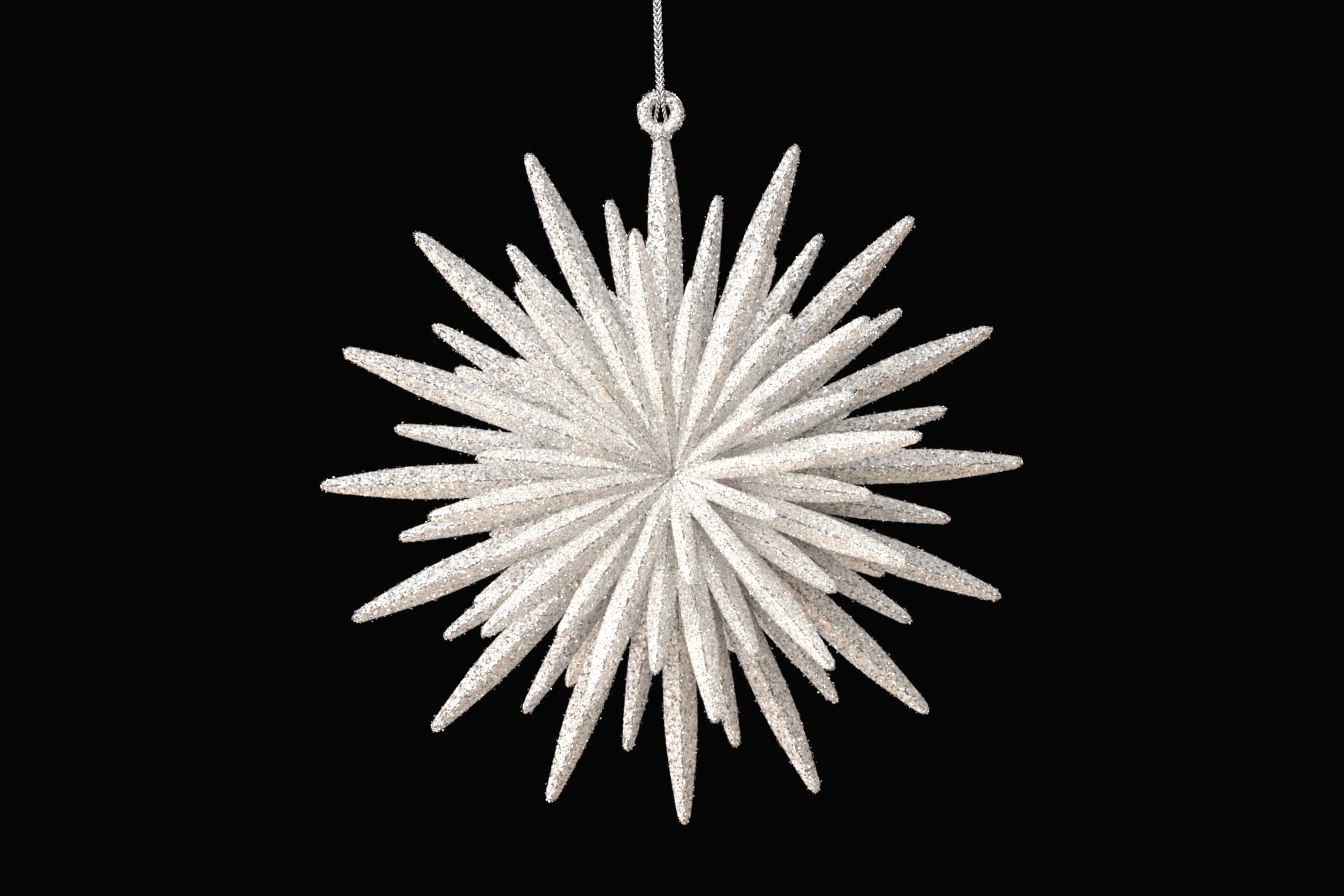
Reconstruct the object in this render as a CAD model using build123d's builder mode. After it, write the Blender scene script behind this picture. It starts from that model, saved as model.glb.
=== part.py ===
"""Hanging starburst ornament: five moulded star pieces stacked on one axis,
glued together, and a metallic cord loop hitched to the ring on the top spike.

Frame: origin where the hook bears inside the top of the cord loop, +Z up,
+X to the right and the star facing -Y.  All dimensions in millimetres.

Each star is laid out in its own plane: local x to the right as seen from that
face, local y up and local z out of the face.  A depth is a distance along
local z from the middle plane of the main star.
"""

from build123d import *
from math import cos, radians, sin
import os

# ----------------------------------------------------------------------------
# Driving dimensions
# ----------------------------------------------------------------------------
ridge_ratio = 0.90  # a spike's half thickness over its half width

# main star: everything in one plane
main_long_tip = 74.9  # radius of the long tips
main_medium_tip = 59.9  # radius of the tips between them
main_count = 16  # of each kind
main_pitch = 360 / main_count
main_root = 14.0  # where the spikes start, inside the hub
main_hub_radius = 19.0
main_hub_half = 3.4  # half thickness of the flat hub

# middle stars: spikes lean out of the face
middle_lean = 20.0
middle_axis_start = 1.0  # depth of the spike axes at the centre
middle_long_tip = 51.9
middle_short_tip = 41.4
middle_count = 12  # of each kind
middle_root = 10.0
middle_hub_radius = 13.0
middle_back = 3.7  # depth of the glued back face
middle_boss = 7.5  # depth of the boss the cap sits on
front_middle_turn = 7.5  # angle of the first long spike
rear_middle_turn = 27.5

# cap stars
cap_lean = 38.5
cap_axis_start = 6.6
cap_long_tip = 29.2
cap_short_tip = 22.4
cap_count = 6  # of each kind
cap_root = 1.5
cap_boss_radius = 6.2
cap_boss_taper = 12
cap_back = 7.8
cap_fill = 10.6  # depth of the hidden web between the cap's spike roots
front_cap_turn = 6.5
rear_cap_turn = 21.0

# locating pegs
peg_radius = 3.0
peg_hole_radius = peg_radius + 0.05
peg_hole_reach = 20  # cuts right through a middle star
peg_end = 5.6  # depth of the end of the main star's peg
spigot_end = 5.8  # depth of the end of the cap star's spigot
spigot_overlap = 0.5  # how far the spigot runs into the cap

# cutter that leaves a star's back face flat
trim_radius = 40
trim_depth = 12

# glue rings
glue_inner = 3.8
glue_outer_middle = 12.0
glue_outer_cap = 5.8

# hanging ring on the top spike; heights are above the star's centre
ring_centre = 77.4
ring_mean_radius = 3.6
ring_tube = 1.3
ring_top = ring_centre + ring_mean_radius + ring_tube
neck_radius = 1.25
neck_overlap = 1.0  # how far the neck runs into the spike
shoulder = 71.6  # the top spike ends here, below the neck
shoulder_cutter = 20  # side of the cube that cuts the spike off

# cord
cord_drop = 55.0  # hook point to the top of the ring
strand_radius = 0.45
strand_offset = 0.46  # strand centre from the cord's centre line
pair_half_width = strand_offset + strand_radius
gap = 0.05  # between one length of cord and the next
fore_aft_z = -14.0  # where the cord bends to the front and back
sideways_z = -20.0  # where the cord bends to the sides
twist_z = -33.0  # where the cord turns

star_z = -(cord_drop + ring_top)  # height of the star's centre
rock_z = star_z + 86.0  # where the star rocks on the cord

front = Plane(origin=(0, 0, star_z), x_dir=(1, 0, 0), z_dir=(0, -1, 0))
rear = Plane(origin=(0, 0, star_z), x_dir=(-1, 0, 0), z_dir=(0, 1, 0))

# Spike outlines: (distance from the tip, full width).  The last width is
# kept from there to the root.
main_long_width = [
    (0, 1.4), (0.4, 2.1), (1.2, 2.6), (4.9, 3.75),
    (10.0, 5.05), (16.5, 6.45), (23.0, 7.1), (38.0, 7.1),
]
main_medium_width = [
    (0, 1.2), (0.4, 1.9), (1.2, 2.35), (4.8, 3.3),
    (10.0, 4.35), (16.5, 5.4), (23.0, 5.9), (30.0, 5.9),
]
middle_long_width = [
    (0, 1.3), (0.4, 2.0), (1.2, 2.6), (4.9, 3.7),
    (9.5, 4.9), (15.0, 6.1), (21.0, 6.7), (28.0, 6.4),
]
middle_short_width = [
    (0, 1.3), (0.4, 2.0), (1.2, 2.6), (4.9, 3.8),
    (9.8, 5.2), (15.0, 5.9), (20.0, 6.0),
]
cap_long_width = [
    (0, 1.3), (0.4, 2.1), (1.2, 2.8), (3.0, 3.5),
    (5.5, 4.0), (10.7, 4.45), (16.0, 4.6), (24.0, 4.0),
]
cap_short_width = [
    (0, 1.3), (0.4, 2.1), (1.2, 2.8), (3.0, 3.4),
    (5.5, 3.9), (10.7, 4.2), (16.0, 4.1),
]

os.makedirs("parts", exist_ok=True)


def save(part, name):
    """Label a piece and write its STEP file."""
    part.label = name
    export_step(part, f"parts/{name}.step")


# ----------------------------------------------------------------------------
# Spikes
# ----------------------------------------------------------------------------
def make_spike(lean, axis_start, tip_radius, widths, root):
    """A ridged four-sided spike with a small blunt tip.  It runs out along
    local x, rising at the lean angle from depth axis_start at the centre."""
    length = tip_radius / cos(radians(lean))
    stations = [(length - from_tip, width / 2) for from_tip, width in widths]
    stations.append((root, widths[-1][1] / 2))
    axis = (cos(radians(lean)), 0, sin(radians(lean)))
    with BuildPart() as spike:
        for along, half_width in sorted(stations):
            centre = (along * axis[0], 0, axis_start + along * axis[2])
            ridge = half_width * ridge_ratio
            with BuildSketch(Plane(origin=centre, x_dir=(0, 1, 0), z_dir=axis)):
                Polygon((half_width, 0), (0, ridge), (-half_width, 0), (0, -ridge))
        loft(ruled=True)
    return spike.part


main_long_spike = make_spike(0, 0, main_long_tip, main_long_width, main_root)
main_medium_spike = make_spike(0, 0, main_medium_tip, main_medium_width, main_root)
middle_long_spike = make_spike(
    middle_lean, middle_axis_start, middle_long_tip, middle_long_width, middle_root
)
middle_short_spike = make_spike(
    middle_lean, middle_axis_start, middle_short_tip, middle_short_width, middle_root
)
cap_long_spike = make_spike(cap_lean, cap_axis_start, cap_long_tip, cap_long_width, cap_root)
cap_short_spike = make_spike(cap_lean, cap_axis_start, cap_short_tip, cap_short_width, cap_root)

# The top spike is cut off flat at its shoulder, below the ring's neck
with BuildPart() as main_top_spike:
    add(main_long_spike)
    with BuildSketch(Plane.YZ.offset(shoulder)):
        Rectangle(shoulder_cutter, shoulder_cutter)
    extrude(amount=shoulder_cutter, mode=Mode.SUBTRACT)

# ----------------------------------------------------------------------------
# Main star: flat hub, sixteen long and sixteen medium spikes, ring and pegs
# ----------------------------------------------------------------------------
with BuildPart(front) as main_star:
    with BuildSketch(front):
        Circle(main_hub_radius)
    extrude(amount=main_hub_half, both=True)
    with PolarLocations(0, 1, start_angle=90):
        add(main_top_spike.part)
    # the other long spikes, one pitch either side of the top and all between
    with PolarLocations(
        0,
        main_count - 1,
        start_angle=90 + main_pitch,
        angular_range=360 - 2 * main_pitch,
        endpoint=True,
    ):
        add(main_long_spike)
    with PolarLocations(0, main_count, start_angle=main_pitch / 2):
        add(main_medium_spike)
    # locating peg on each face
    with BuildSketch(front):
        Circle(peg_radius)
    extrude(amount=peg_end, both=True)
    # neck and hanging ring
    with BuildSketch(Plane.XY.offset(star_z + shoulder - neck_overlap)):
        Circle(neck_radius)
    extrude(amount=ring_centre - ring_mean_radius - shoulder + neck_overlap)
    with Locations((0, ring_centre, 0)):
        Torus(ring_mean_radius, ring_tube)
save(main_star.part, "main_star")


# ----------------------------------------------------------------------------
# Middle stars, cap stars and the glue between them, on each face
# ----------------------------------------------------------------------------
def make_middle_star(face, turn):
    """Leaning spikes on a hub with a through hole for the pegs."""
    with BuildPart(face) as star:
        with BuildSketch(face.offset(middle_back)):
            Circle(middle_hub_radius)
        extrude(amount=middle_boss - middle_back)
        with PolarLocations(0, middle_count, start_angle=turn):
            add(middle_long_spike)
        with PolarLocations(0, middle_count, start_angle=turn + 180 / middle_count):
            add(middle_short_spike)
        # flat back face
        with BuildSketch(face.offset(middle_back)):
            Circle(trim_radius)
        extrude(amount=-trim_depth, mode=Mode.SUBTRACT)
        # hole for the pegs
        with BuildSketch(face):
            Circle(peg_hole_radius)
        extrude(amount=peg_hole_reach, mode=Mode.SUBTRACT)
    return star.part


def make_cap_star(face, turn):
    """Steep spikes round a shallow bowl, with a spigot behind."""
    with BuildPart(face) as star:
        with BuildSketch(face.offset(cap_back)):
            Circle(cap_boss_radius)
        extrude(amount=cap_fill - cap_back, taper=cap_boss_taper)
        with PolarLocations(0, cap_count, start_angle=turn):
            add(cap_long_spike)
        with PolarLocations(0, cap_count, start_angle=turn + 180 / cap_count):
            add(cap_short_spike)
        # flat back face
        with BuildSketch(face.offset(cap_back)):
            Circle(trim_radius)
        extrude(amount=-trim_depth, mode=Mode.SUBTRACT)
        # spigot
        with BuildSketch(face.offset(spigot_end)):
            Circle(peg_radius)
        extrude(amount=cap_back - spigot_end + spigot_overlap)
    return star.part


def make_glue_ring(face, start, end, outer_radius):
    """A flat ring that fills the joint between depths start and end."""
    with BuildPart() as glue:
        with BuildSketch(face.offset(start)):
            Circle(outer_radius)
            Circle(glue_inner, mode=Mode.SUBTRACT)
        extrude(amount=end - start)
    return glue.part


for where, face, middle_turn, cap_turn in (
    ("front", front, front_middle_turn, front_cap_turn),
    ("rear", rear, rear_middle_turn, rear_cap_turn),
):
    save(make_middle_star(face, middle_turn), f"{where}_middle_star")
    save(make_cap_star(face, cap_turn), f"{where}_cap_star")
    middle_glue = make_glue_ring(face, main_hub_half, middle_back, glue_outer_middle)
    save(middle_glue, f"{where}_middle_glue")
    cap_glue = make_glue_ring(face, middle_boss, cap_back, glue_outer_cap)
    save(cap_glue, f"{where}_cap_glue")

# ----------------------------------------------------------------------------
# Cord.  Two strands lie side by side.  The flexible cord is one piece on the
# object; here it is cut into separate lengths where it bends and turns.
# ----------------------------------------------------------------------------
# knot: a rounded lump where the two ends are tied, with two short tails
knot_z = 2.45  # centre of the knot above the hook point
# (radius, height from the knot's centre), a closed half outline
knot_outline = [
    (0, 1.7), (0.9, 1.6), (1.7, 0.8), (1.8, -0.5), (1.2, -1.3), (0, -1.55), (0, 1.7),
]
# (x, y, height from the knot's centre) of the right tail; the left one is
# turned half round the Z axis
tail_points = [(0.6, 0, 0.6), (1.1, 0, 3.4), (2.6, 0.3, 7.4)]

with BuildPart() as cord_knot:
    with BuildSketch(Plane.XZ):
        with BuildLine():
            Polyline(*[(radius, knot_z + height) for radius, height in knot_outline])
        make_face()
    revolve(axis=Axis.Z)
    for sign in (-1, 1):
        with BuildLine() as tail_path:
            Spline(
                *[(sign * x, sign * y, knot_z + height) for x, y, height in tail_points],
                tangents=[(0, 0, 1), (sign * 0.6, 0, 1)],
            )
        with BuildSketch(Plane(origin=tail_path.line @ 0, z_dir=tail_path.line % 0)):
            Circle(strand_radius)
        sweep(path=tail_path.line)
save(cord_knot.part, "cord_knot")

# eye: the two strands spread round the hook and close again below it
eye_close_z = -12.6  # the strands run straight down from here
# (x, z) of the right strand's centre
eye_points = [
    (0.8, 0.6), (2.5, -0.7), (3.3, -4.2), (1.55, -9.0), (strand_offset, eye_close_z),
]
bridge_half_length = 1.0

with BuildPart() as cord_eye:
    for sign in (-1, 1):
        with BuildLine() as eye_path:
            Spline(
                *[(sign * x, 0, z) for x, z in eye_points],
                tangents=[(sign * 0.7, 0, -0.7), (0, 0, -1)],
            )
            Line(
                (sign * strand_offset, 0, eye_close_z),
                (sign * strand_offset, 0, fore_aft_z + strand_radius + gap),
            )
        with BuildSketch(Plane(origin=eye_path.line @ 0, z_dir=eye_path.line % 0)):
            Circle(strand_radius)
        sweep(path=eye_path.line)
    # bridge under the knot that the hook bears on
    with BuildSketch(Plane.YZ):
        with Locations((0, strand_radius)):
            Circle(strand_radius)
    extrude(amount=bridge_half_length, both=True)
save(cord_eye.part, "cord_eye")


def rolled_end(z):
    """A short roll along X that rounds the end of both strands."""
    return Pos(0, 0, z) * (Rot(0, 90, 0) * Cylinder(strand_radius, 2 * pair_half_width))


# Made outside the builders, so that each roll joins only by its add()
upper_roll = rolled_end(fore_aft_z)
hitch_roll = rolled_end(rock_z)

# upper length: from the fore-and-aft bend to the sideways bend
with BuildPart() as cord_upper:
    with BuildSketch(Plane.XY.offset(fore_aft_z)):
        with Locations((-strand_offset, 0), (strand_offset, 0)):
            Circle(strand_radius)
    extrude(amount=-(fore_aft_z - (sideways_z + pair_half_width + gap)))
    add(upper_roll)
save(cord_upper.part, "cord_upper_length")

# middle length: rounded across its width at the top, flat at the twist
rounding_length = 40  # reaches past the twist
rounding_half_depth = 2

with BuildPart() as cord_middle:
    with BuildSketch(Plane.XY.offset(sideways_z + pair_half_width)):
        with Locations((-strand_offset, 0), (strand_offset, 0)):
            Circle(strand_radius)
        Rectangle(2 * strand_offset, strand_radius)
    extrude(amount=-(pair_half_width + sideways_z - twist_z - gap / 2))
    with BuildSketch(Plane.XZ):
        with Locations((0, sideways_z)):
            Circle(pair_half_width)
        with Locations((0, sideways_z - rounding_length / 2)):
            Rectangle(2 * pair_half_width, rounding_length)
    extrude(amount=rounding_half_depth, both=True, mode=Mode.INTERSECT)
save(cord_middle.part, "cord_middle_length")

# lower length: from the twist to the bend above the ring
with BuildPart() as cord_lower:
    with BuildSketch(Plane.XY.offset(twist_z - gap / 2)):
        with Locations((-strand_offset, 0), (strand_offset, 0)):
            Circle(strand_radius)
        Rectangle(2 * strand_offset, strand_radius)
    extrude(amount=-(twist_z - gap / 2 - (rock_z + strand_radius + gap)))
save(cord_lower.part, "cord_lower_length")

# hitch: down the front of the ring, back through its hole and round the neck
neck_turn = neck_radius + strand_radius + 0.02  # strand centre from the neck's axis
ring_wrap = ring_tube + strand_radius + 0.06  # strand centre from the ring's plane
neck_turn_height = 72.12
# (x, y, height above the star's centre) of the right strand, below the bend
hitch_points = [
    (strand_offset, -0.95, 83.9),
    (strand_offset, -ring_wrap, 81.9),
    (strand_offset + 0.02, -1.48, 79.93),
    (0.58, -0.35, 78.83),
    (0.85, 0.95, 77.6),
    (1.20, 1.75, 75.6),
    (1.60, 1.85, 73.9),
    (1.85, 1.15, 72.7),
    (neck_turn, 0, neck_turn_height),
]

with BuildPart() as cord_hitch:
    with BuildLine() as hitch_path:
        Spline(
            (strand_offset, 0, rock_z),
            *[(x, y, star_z + height) for x, y, height in hitch_points],
            tangents=[(0, 0, -1), (0, -1, 0)],
        )
        CenterArc((0, 0, star_z + neck_turn_height), neck_turn, 0, -90)
    with BuildSketch(Plane(origin=(strand_offset, 0, rock_z), z_dir=(0, 0, -1))):
        Circle(strand_radius)
    sweep(path=hitch_path.line)
    mirror(about=Plane.YZ)
    add(hitch_roll)
save(cord_hitch.part, "cord_hitch")
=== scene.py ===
"""A hanging glitter star: one flat main star with two smaller stars on its front and two on
its back, held by a doubled cord of metallic yarn that is hitched to the ring on the top spike.

Row frame: X right, -Y towards the viewer, Z up, with the cord's upper end near z = 0 and the
star below it.  Lengths are in millimetres unless a comment says otherwise.  Meshes are numpy
vertex and triangle arrays until make_object turns them into objects, in metres.
"""

import math
from collections import namedtuple

import bpy
import numpy as np
from mathutils import Matrix, Vector


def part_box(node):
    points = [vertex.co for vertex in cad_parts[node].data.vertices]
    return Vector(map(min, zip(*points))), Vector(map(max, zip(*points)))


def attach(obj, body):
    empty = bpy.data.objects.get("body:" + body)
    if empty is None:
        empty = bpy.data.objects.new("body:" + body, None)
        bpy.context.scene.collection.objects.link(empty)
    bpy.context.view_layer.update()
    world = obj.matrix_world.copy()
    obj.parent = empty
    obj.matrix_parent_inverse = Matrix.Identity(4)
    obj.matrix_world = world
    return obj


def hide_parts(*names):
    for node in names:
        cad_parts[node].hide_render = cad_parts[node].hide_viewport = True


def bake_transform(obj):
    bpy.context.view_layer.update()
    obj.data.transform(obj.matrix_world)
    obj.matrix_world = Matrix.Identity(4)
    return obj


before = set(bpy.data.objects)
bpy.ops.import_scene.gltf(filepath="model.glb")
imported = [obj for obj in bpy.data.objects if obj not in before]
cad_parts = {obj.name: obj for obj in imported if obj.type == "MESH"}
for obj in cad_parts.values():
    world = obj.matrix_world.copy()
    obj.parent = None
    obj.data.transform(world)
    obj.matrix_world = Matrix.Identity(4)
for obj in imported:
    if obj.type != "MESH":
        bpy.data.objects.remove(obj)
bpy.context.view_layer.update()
MM = 0.001  # metres in a millimetre

# ---------------------------------------------------------------------------
# Sizes of the stars
# ---------------------------------------------------------------------------
glue_low, glue_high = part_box("front_middle_glue")
STAR_Z = (glue_low.z + glue_high.z) / 2 / MM  # height of the star's centre

# Bare spikes: (distance back from the tip, full width)
MAIN_LONG = [
    (0, 1.4), (0.4, 2.1), (1.2, 2.6), (4.9, 3.75),
    (10.0, 5.05), (16.5, 6.45), (23.0, 7.1), (38.0, 7.1),
]
MAIN_MEDIUM = [
    (0, 1.2), (0.4, 1.9), (1.2, 2.35), (4.8, 3.3),
    (10.0, 4.35), (16.5, 5.4), (23.0, 5.9), (30.0, 5.9),
]
MIDDLE_LONG = [
    (0, 1.3), (0.4, 2.0), (1.2, 2.6), (4.9, 3.7),
    (9.5, 4.9), (15.0, 6.1), (21.0, 6.7), (28.0, 6.4),
]
MIDDLE_SHORT = [
    (0, 1.3), (0.4, 2.0), (1.2, 2.6), (4.9, 3.8), (9.8, 5.2), (15.0, 5.9), (20.0, 6.0),
]
CAP_LONG = [
    (0, 1.3), (0.4, 2.1), (1.2, 2.8), (3.0, 3.5),
    (5.5, 4.0), (10.7, 4.45), (16.0, 4.6), (24.0, 4.0),
]
CAP_SHORT = [
    (0, 1.3), (0.4, 2.1), (1.2, 2.8), (3.0, 3.4), (5.5, 3.9), (10.7, 4.2), (16.0, 4.1),
]

COAT, COAT_TIP = 0.10, 0.22  # glitter coat on a spike's sides and on its tip
RIDGE = 0.90  # a spike's thickness as a share of its width
NOSE_R = 1.15  # length over which a tip rounds off
TIP_LENGTH = 2.6  # stations stay close over this much of a spike
CREST_SOFT = 0.12  # rounding of the crests
SHOULDER = 71.6  # where the top spike is cut off under its neck
RING_C, RING_R, RING_T = 77.4, 3.6, 1.3  # hanging ring: centre, radius, wire radius
NECK_R = 1.25
SLAB_TOP = 90.0  # beyond every leaning spike

# reach: radius of the tips; root: where a spike starts along its own axis, with root_step
# added once or twice on two spikes of every three
Spikes = namedtuple("Spikes", "reach root root_step widths")
# Subdivision round one facet, station spacing, loose flakes, flakes on edges
Detail = namedtuple("Detail", "around spacing flakes edge_flakes")
# lean: degrees out of the star's plane; start: z where the spike axes meet;
# hub: closed (radius, z) outline; back: z of the flat back; top_cut: end of the upright
# spike; coarse_below: stations are wider apart nearer the centre; coat: glitter settings
Layer = namedtuple(
    "Layer", "pairs lean start hub long short back top_cut coarse_below detail coat"
)

# Glitter coats. tone: brightness; grit: contrast between flakes; grain: flake size;
# soften: evens the light between a spike's two sides; milky: subsurface weight;
# ring_grains: coarse dark grains on the hanging ring
MAIN_COAT = dict(
    tone=1.05, grit=1.05, grain=0.41, soften=0.0, tint=(1, 1, 1), milky=0.0, ring_grains=True
)
MIDDLE_COAT = dict(
    tone=1.28, grit=0.90, grain=0.30, soften=0.72, tint=(1.0, 0.985, 0.955), milky=0.6,
    ring_grains=False,
)
CAP_COAT = dict(MIDDLE_COAT, tone=1.20)

LAYERS = {
    "main": Layer(
        pairs=16, lean=0.0, start=0.0,
        hub=[(0.01, -3.4), (19.0, -3.4), (19.0, 3.4), (0.01, 3.4)],
        long=Spikes(74.9, 12.0, 0.0, MAIN_LONG),
        short=Spikes(59.9, 12.0, 0.0, MAIN_MEDIUM),
        back=None, top_cut=SHOULDER, coarse_below=24.0,
        detail=Detail(7, 0.58, 19500, 5000),
        coat=MAIN_COAT,
    ),
    "middle": Layer(
        pairs=12, lean=20.0, start=1.0,
        hub=[(0.01, 2.0), (13.0, 2.0), (13.0, 7.5), (0.01, 7.5)],
        long=Spikes(51.9, 8.0, 0.0, MIDDLE_LONG),
        short=Spikes(41.4, 8.0, 0.0, MIDDLE_SHORT),
        back=3.7, top_cut=None, coarse_below=14.0,
        detail=Detail(8, 0.50, 18500, 2500),
        coat=MIDDLE_COAT,
    ),
    "cap": Layer(
        pairs=6, lean=38.5, start=6.6,
        hub=[(0.01, 6.6), (6.2, 6.6), (5.6, 10.6), (0.01, 8.6)],
        long=Spikes(29.2, 0.30, 0.07, CAP_LONG),
        short=Spikes(22.4, 0.55, 0.06, CAP_SHORT),
        back=7.8, top_cut=None, coarse_below=0.0,
        detail=Detail(8, 0.30, 8600, 900),
        coat=CAP_COAT,
    ),
}

# (name, layer, turn in degrees, facing: 1 front or -1 rear, seed)
STARS = [
    ("main", "main", 0.0, 1, 11),
    ("front_middle", "middle", 7.5, 1, 21),
    ("rear_middle", "middle", 27.5, -1, 31),
    ("front_cap", "cap", 6.5, 1, 41),
    ("rear_cap", "cap", 21.0, -1, 51),
]


# ---------------------------------------------------------------------------
# Mesh helpers
# ---------------------------------------------------------------------------
def make_object(name, verts, faces, materials, smooth=False):
    mesh = bpy.data.meshes.new(name)
    verts = np.asarray(verts, np.float32) * MM
    count, corners = faces.shape
    mesh.vertices.add(len(verts))
    mesh.vertices.foreach_set("co", verts.ravel())
    mesh.loops.add(count * corners)
    mesh.loops.foreach_set("vertex_index", faces.astype(np.int32).ravel())
    mesh.polygons.add(count)
    starts = np.arange(0, count * corners, corners, dtype=np.int32)
    mesh.polygons.foreach_set("loop_start", starts)
    mesh.update(calc_edges=True)
    for material in materials:
        mesh.materials.append(material)
    mesh.polygons.foreach_set("use_smooth", np.full(len(mesh.polygons), smooth))
    mesh.validate()
    ob = bpy.data.objects.new(name, mesh)
    bpy.context.scene.collection.objects.link(ob)
    return ob


def circle_angles(count):
    return np.arange(count) / count * 2 * np.pi


def band(first, second, count):
    """Corners (p, q, r, s) between two rings of vertices: p, q on the first, r, s on the second."""
    for j in range(count):
        k = (j + 1) % count
        yield first + j, first + k, second + j, second + k


def join(parts):
    verts, faces, offset = [], [], 0
    for part_verts, part_faces in parts:
        verts.append(part_verts)
        faces.append(part_faces + offset)
        offset += len(part_verts)
    return np.concatenate(verts), np.concatenate(faces)


def outward(verts, faces):
    """The faces, turned round if the mesh is inside out."""
    tri = verts[faces]
    volume = np.einsum("ij,ij->i", tri[:, 0], np.cross(tri[:, 1], tri[:, 2])).sum()
    return faces if volume > 0 else faces[:, ::-1]


def unit_rows(vectors):
    return vectors / np.maximum(np.linalg.norm(vectors, axis=1, keepdims=True), 1e-12)


def face_normals(tri):
    """Normals of the triangles, as long as twice their areas."""
    return np.cross(tri[:, 1] - tri[:, 0], tri[:, 2] - tri[:, 0])


def vertex_normals(verts, faces):
    of_faces = face_normals(verts[faces])
    normals = np.zeros_like(verts)
    for corner in range(3):
        np.add.at(normals, faces[:, corner], of_faces)
    return unit_rows(normals)


def lathe_mesh(outline, around=96):
    """Solid of revolution about z from a closed (radius, z) outline."""
    a = circle_angles(around)
    rings = [
        np.stack([r * np.cos(a), r * np.sin(a), np.full(around, z)], 1)
        for r, z in np.array(outline, float)
    ]
    faces = []
    for i in range(len(rings)):
        following = (i + 1) % len(rings)
        for p, q, r, s in band(i * around, following * around, around):
            faces += [(p, q, s), (p, s, r)]
    return np.concatenate(rings), np.array(faces)


def torus_mesh(centre_y, big, small, around=72, section=24):
    """Ring round the z direction, centred on the y axis."""
    verts = []
    for a in circle_angles(around):
        for b in circle_angles(section):
            r = big + small * math.cos(b)
            verts.append((r * math.cos(a), centre_y + r * math.sin(a), small * math.sin(b)))
    faces = []
    for i in range(around):
        for p, q, r, s in band(i * section, (i + 1) % around * section, section):
            faces += [(p, r, s), (p, s, q)]
    return np.array(verts), np.array(faces)


def rod_mesh(start, end, radius, around=24):
    start, end = np.array(start, float), np.array(end, float)
    along = (end - start) / np.linalg.norm(end - start)
    across = np.cross(along, [0, 0, 1.0])
    across = across / np.linalg.norm(across)
    third = np.cross(along, across)
    a = circle_angles(around)
    circle = np.outer(np.cos(a), across) * radius + np.outer(np.sin(a), third) * radius
    verts = np.concatenate([start + circle, end + circle, [start], [end]])
    faces = []
    for p, q, r, s in band(0, around, around):
        faces += [(p, q, s), (p, s, r), (2 * around, q, p), (2 * around + 1, r, s)]
    return verts, np.array(faces)


def slab_mesh(z0, z1, half=120.0):
    corners = ((-half, -half), (half, -half), (half, half), (-half, half))
    verts = np.array([(x, y, z) for z in (z0, z1) for x, y in corners], float)
    faces = [(0, 2, 1), (0, 3, 2), (4, 5, 6), (4, 6, 7)]
    for p, q, r, s in band(0, 4, 4):
        faces += [(p, q, s), (p, s, r)]
    return verts, np.array(faces)


def combine(first, second, operation):
    """Applies a boolean of the first object with the second, which is used up."""
    mod = first.modifiers.new("b", "BOOLEAN")
    mod.solver = "MANIFOLD"
    mod.operation = operation
    mod.object = second
    graph = bpy.context.evaluated_depsgraph_get()
    result = bpy.data.meshes.new_from_object(first.evaluated_get(graph), depsgraph=graph)
    first.modifiers.clear()
    old = first.data
    first.data = result
    bpy.data.meshes.remove(old)
    old = second.data
    bpy.data.objects.remove(second)
    bpy.data.meshes.remove(old)
    return first


def united(parts, inside=None):
    """One closed skin round overlapping meshes, cut back to what lies inside another mesh."""
    obs = [make_object("tmp_part", v, outward(v, f), []) for v, f in parts]
    while len(obs) > 1:
        obs = [
            combine(obs[i], obs[i + 1], "UNION") if i + 1 < len(obs) else obs[i]
            for i in range(0, len(obs), 2)
        ]
    ob = obs[0]
    if inside is not None:
        cutter = make_object("tmp_cut", inside[0], outward(*inside), [])
        ob = combine(ob, cutter, "INTERSECT")
    mesh = ob.data
    verts = np.zeros(len(mesh.vertices) * 3, np.float32)
    mesh.vertices.foreach_get("co", verts)
    mesh.calc_loop_triangles()
    faces = np.zeros(len(mesh.loop_triangles) * 3, np.int32)
    mesh.loop_triangles.foreach_get("vertices", faces)
    bpy.data.objects.remove(ob)
    bpy.data.meshes.remove(mesh)
    return verts.reshape(-1, 3).astype(float) / MM, faces.reshape(-1, 3)


# ---------------------------------------------------------------------------
# Spikes, in star coordinates: x right, y up, z out of the face
# ---------------------------------------------------------------------------
def spike_outline(widths, length, root):
    """Stations along a coated spike, tip first, and the half widths there."""
    length = length + COAT_TIP
    end = length - root
    tip_stations = [0.0, 0.06, 0.16, 0.32, 0.55, 0.85, 1.2, 1.7]
    stations = np.concatenate([tip_stations, np.arange(2.4, end, 1.1), [end]])
    from_tip, width = np.array(widths, float).T
    half_width = width / 2 + COAT
    knots = np.append(from_tip, max(end, from_tip[-1] + 1))
    values = np.append(half_width, half_width[-1])
    # cubic through the knots, kept monotone where they are
    gap = np.diff(knots)
    rise = np.diff(values) / gap
    before, after = rise[:-1], rise[1:]
    slope = np.zeros_like(knots)
    mean = 2 * before * after / (before + after + 1e-12)
    slope[1:-1] = np.where(before * after > 0, mean, 0)
    slope[0] = rise[0]
    i = np.clip(np.searchsorted(knots, stations, side="right") - 1, 0, len(gap) - 1)
    u = (stations - knots[i]) / gap[i]
    half = (
        (2 * u**3 - 3 * u**2 + 1) * values[i]
        + (u**3 - 2 * u**2 + u) * gap[i] * slope[i]
        + (-2 * u**3 + 3 * u**2) * values[i + 1]
        + (u**3 - u**2) * gap[i] * slope[i + 1]
    )
    arc = np.sqrt(np.clip(1 - (1 - stations / NOSE_R) ** 2, 0, 1))
    nose = np.where(stations < NOSE_R, arc, 1.0)
    half = np.minimum(half, half * (0.25 + 0.75 * nose))
    half[0] = 0.22
    return length - stations, half


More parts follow.
